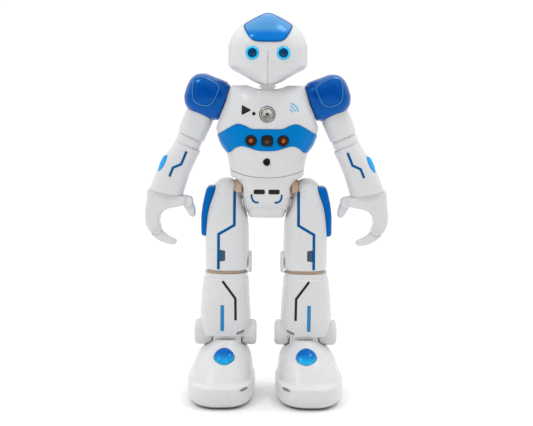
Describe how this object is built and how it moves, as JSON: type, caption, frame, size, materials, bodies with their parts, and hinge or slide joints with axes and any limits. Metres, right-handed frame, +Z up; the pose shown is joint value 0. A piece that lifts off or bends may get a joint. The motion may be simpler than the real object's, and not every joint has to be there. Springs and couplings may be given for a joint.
{
  "type": "educational coding robot",
  "caption": "Standing toy humanoid robot with white and blue shells, turning head, posable arms with claw hands, and jointed legs on wheeled feet.",
  "frame": {"origin": "on the floor, under the centre of the standing robot's bounding box", "axes": "+Z up, the robot faces -Y, its own left side is on +X"},
  "size_m": [0.167, 0.0788, 0.2646],
  "materials": {
    "white_plastic": "gloss white moulded ABS",
    "blue_plastic": "gloss blue moulded ABS",
    "cyan_lens": "lit cyan light ring round a dark lens",
    "amber_lens": "clear amber sensor lens",
    "smoke_lens": "dark infrared window",
    "silver_trim": "plated plastic",
    "steel": "turned pin",
    "grey_plastic": "moulded grey",
    "rubber": "soft black rubber",
    "board_green": "solder-resist green",
    "cell_wrap": "blue shrink wrap"
  },
  "bodies": {
    "torso": {"chest_shell": "white_plastic", "back_shell": "white_plastic", "chest_band": "blue_plastic", "battery_cover": "white_plastic", "battery_pack": "cell_wrap", "circuit_board": "board_green", "neck_post": "white_plastic", "pelvis_shell": "white_plastic", "button_bezel": "silver_trim", "right_sensor": "amber_lens", "centre_sensor": "smoke_lens", "left_sensor": "amber_lens", "belly_sensor": "smoke_lens"},
    "head": {"face_shell": "white_plastic", "head_rear_shell": "white_plastic", "visor": "blue_plastic", "right_eye": "cyan_lens", "left_eye": "cyan_lens", "right_ear_cover": "white_plastic", "left_ear_cover": "white_plastic"},
    "button": {"chest_button": "silver_trim"},
    "switch": {"power_switch": "grey_plastic"},
    "right_upper_arm": {"right_shoulder_pad": "blue_plastic", "right_upper_arm": "white_plastic"},
    "right_forearm": {"right_forearm": "white_plastic", "right_forearm_badge": "blue_plastic"},
    "right_hand": {"right_palm": "white_plastic"},
    "right_fingertip": {"right_fingertip": "white_plastic"},
    "right_thumb": {"right_thumb": "white_plastic"},
    "right_thigh": {"right_thigh_front": "white_plastic", "right_thigh_rear": "white_plastic", "right_thigh_fin": "blue_plastic", "right_knee_pin": "white_plastic"},
    "right_shin": {"right_shin_front": "white_plastic", "right_shin_rear": "white_plastic", "right_ankle_pin": "steel"},
    "right_foot": {"right_foot_shell": "white_plastic", "right_sole_plate": "grey_plastic", "right_skid_pad": "rubber", "right_foot_gem": "blue_plastic"},
    "right_wheels": {"right_drive_wheels": "rubber"},
    "left_upper_arm": {"left_shoulder_pad": "blue_plastic", "left_upper_arm": "white_plastic"},
    "left_forearm": {"left_forearm": "white_plastic", "left_forearm_badge": "blue_plastic"},
    "left_hand": {"left_palm": "white_plastic"},
    "left_fingertip": {"left_fingertip": "white_plastic"},
    "left_thumb": {"left_thumb": "white_plastic"},
    "left_thigh": {"left_thigh_front": "white_plastic", "left_thigh_rear": "white_plastic", "left_thigh_fin": "blue_plastic", "left_knee_pin": "white_plastic"},
    "left_shin": {"left_shin_front": "white_plastic", "left_shin_rear": "white_plastic", "left_ankle_pin": "steel"},
    "left_foot": {"left_foot_shell": "white_plastic", "left_sole_plate": "grey_plastic", "left_skid_pad": "rubber", "left_foot_gem": "blue_plastic"},
    "left_wheels": {"left_drive_wheels": "rubber"}
  },
  "joints": [
    {"name": "head_turn", "type": "hinge", "parent": "torso", "child": "head", "pos_m": [0, 0, 0.218], "axis": [0, 0, 1], "range_deg": [-60, 60]},
    {"name": "button_press", "type": "slide", "parent": "torso", "child": "button", "axis": [0, 1, 0], "range_m": [0, 0.0012], "stiffness_N_per_m": 400, "springref_m": -0.0008},
    {"name": "switch_slide", "type": "slide", "parent": "torso", "child": "switch", "axis": [1, 0, 0], "range_m": [0, 0.004]},
    {"name": "right_shoulder_swing", "type": "hinge", "parent": "torso", "child": "right_upper_arm", "pos_m": [-0.0406, 0.002, 0.2083], "axis": [-0.9426, 0, 0.3338], "range_deg": [-50, 110]},
    {"name": "right_elbow_bend", "type": "hinge", "parent": "right_upper_arm", "child": "right_forearm", "pos_m": [-0.053, 0.002, 0.178], "axis": [-0.9205, 0, 0.3907], "range_deg": [0, 35]},
    {"name": "right_wrist_turn", "type": "hinge", "parent": "right_forearm", "child": "right_hand", "pos_m": [-0.0685, 0.002, 0.1425], "axis": [-0.1736, 0, -0.9848], "range_deg": [-90, 90]},
    {"name": "right_fingertip_bend", "type": "hinge", "parent": "right_hand", "child": "right_fingertip", "pos_m": [-0.076, 0.002, 0.117], "axis": [0, 1, 0], "range_deg": [-12, 25]},
    {"name": "right_thumb_bend", "type": "hinge", "parent": "right_hand", "child": "right_thumb", "pos_m": [-0.0543, 0.002, 0.1366], "axis": [0, -1, 0], "range_deg": [-5, 20]},
    {"name": "right_hip_swing", "type": "hinge", "parent": "torso", "child": "right_thigh", "pos_m": [-0.027, 0.004, 0.1425], "axis": [-1, 0, 0], "range_deg": [-20, 20]},
    {"name": "right_knee_bend", "type": "hinge", "parent": "right_thigh", "child": "right_shin", "pos_m": [-0.027, 0.004, 0.0945], "axis": [1, 0, 0], "range_deg": [0, 30]},
    {"name": "right_ankle_tilt", "type": "hinge", "parent": "right_shin", "child": "right_foot", "pos_m": [-0.027, 0.004, 0.0446], "axis": [-1, 0, 0], "range_deg": [-12, 12]},
    {"name": "right_wheel_roll", "type": "hinge", "parent": "right_foot", "child": "right_wheels", "pos_m": [-0.03, 0.018, 0.007], "axis": [1, 0, 0], "continuous": true},
    {"name": "left_shoulder_swing", "type": "hinge", "parent": "torso", "child": "left_upper_arm", "pos_m": [0.0406, 0.002, 0.2083], "axis": [-0.9426, 0, -0.3338], "range_deg": [-50, 110]},
    {"name": "left_elbow_bend", "type": "hinge", "parent": "left_upper_arm", "child": "left_forearm", "pos_m": [0.053, 0.002, 0.178], "axis": [-0.9205, 0, -0.3907], "range_deg": [0, 35]},
    {"name": "left_wrist_turn", "type": "hinge", "parent": "left_forearm", "child": "left_hand", "pos_m": [0.0685, 0.002, 0.1425], "axis": [0.1736, 0, -0.9848], "range_deg": [-90, 90]},
    {"name": "left_fingertip_bend", "type": "hinge", "parent": "left_hand", "child": "left_fingertip", "pos_m": [0.076, 0.002, 0.117], "axis": [0, -1, 0], "range_deg": [-12, 25]},
    {"name": "left_thumb_bend", "type": "hinge", "parent": "left_hand", "child": "left_thumb", "pos_m": [0.0543, 0.002, 0.1366], "axis": [0, 1, 0], "range_deg": [-5, 20]},
    {"name": "left_hip_swing", "type": "hinge", "parent": "torso", "child": "left_thigh", "pos_m": [0.027, 0.004, 0.1425], "axis": [-1, 0, 0], "range_deg": [-20, 20]},
    {"name": "left_knee_bend", "type": "hinge", "parent": "left_thigh", "child": "left_shin", "pos_m": [0.027, 0.004, 0.0945], "axis": [1, 0, 0], "range_deg": [0, 30]},
    {"name": "left_ankle_tilt", "type": "hinge", "parent": "left_shin", "child": "left_foot", "pos_m": [0.027, 0.004, 0.0446], "axis": [-1, 0, 0], "range_deg": [-12, 12]},
    {"name": "left_wheel_roll", "type": "hinge", "parent": "left_foot", "child": "left_wheels", "pos_m": [0.03, 0.018, 0.007], "axis": [1, 0, 0], "continuous": true}
  ]
}
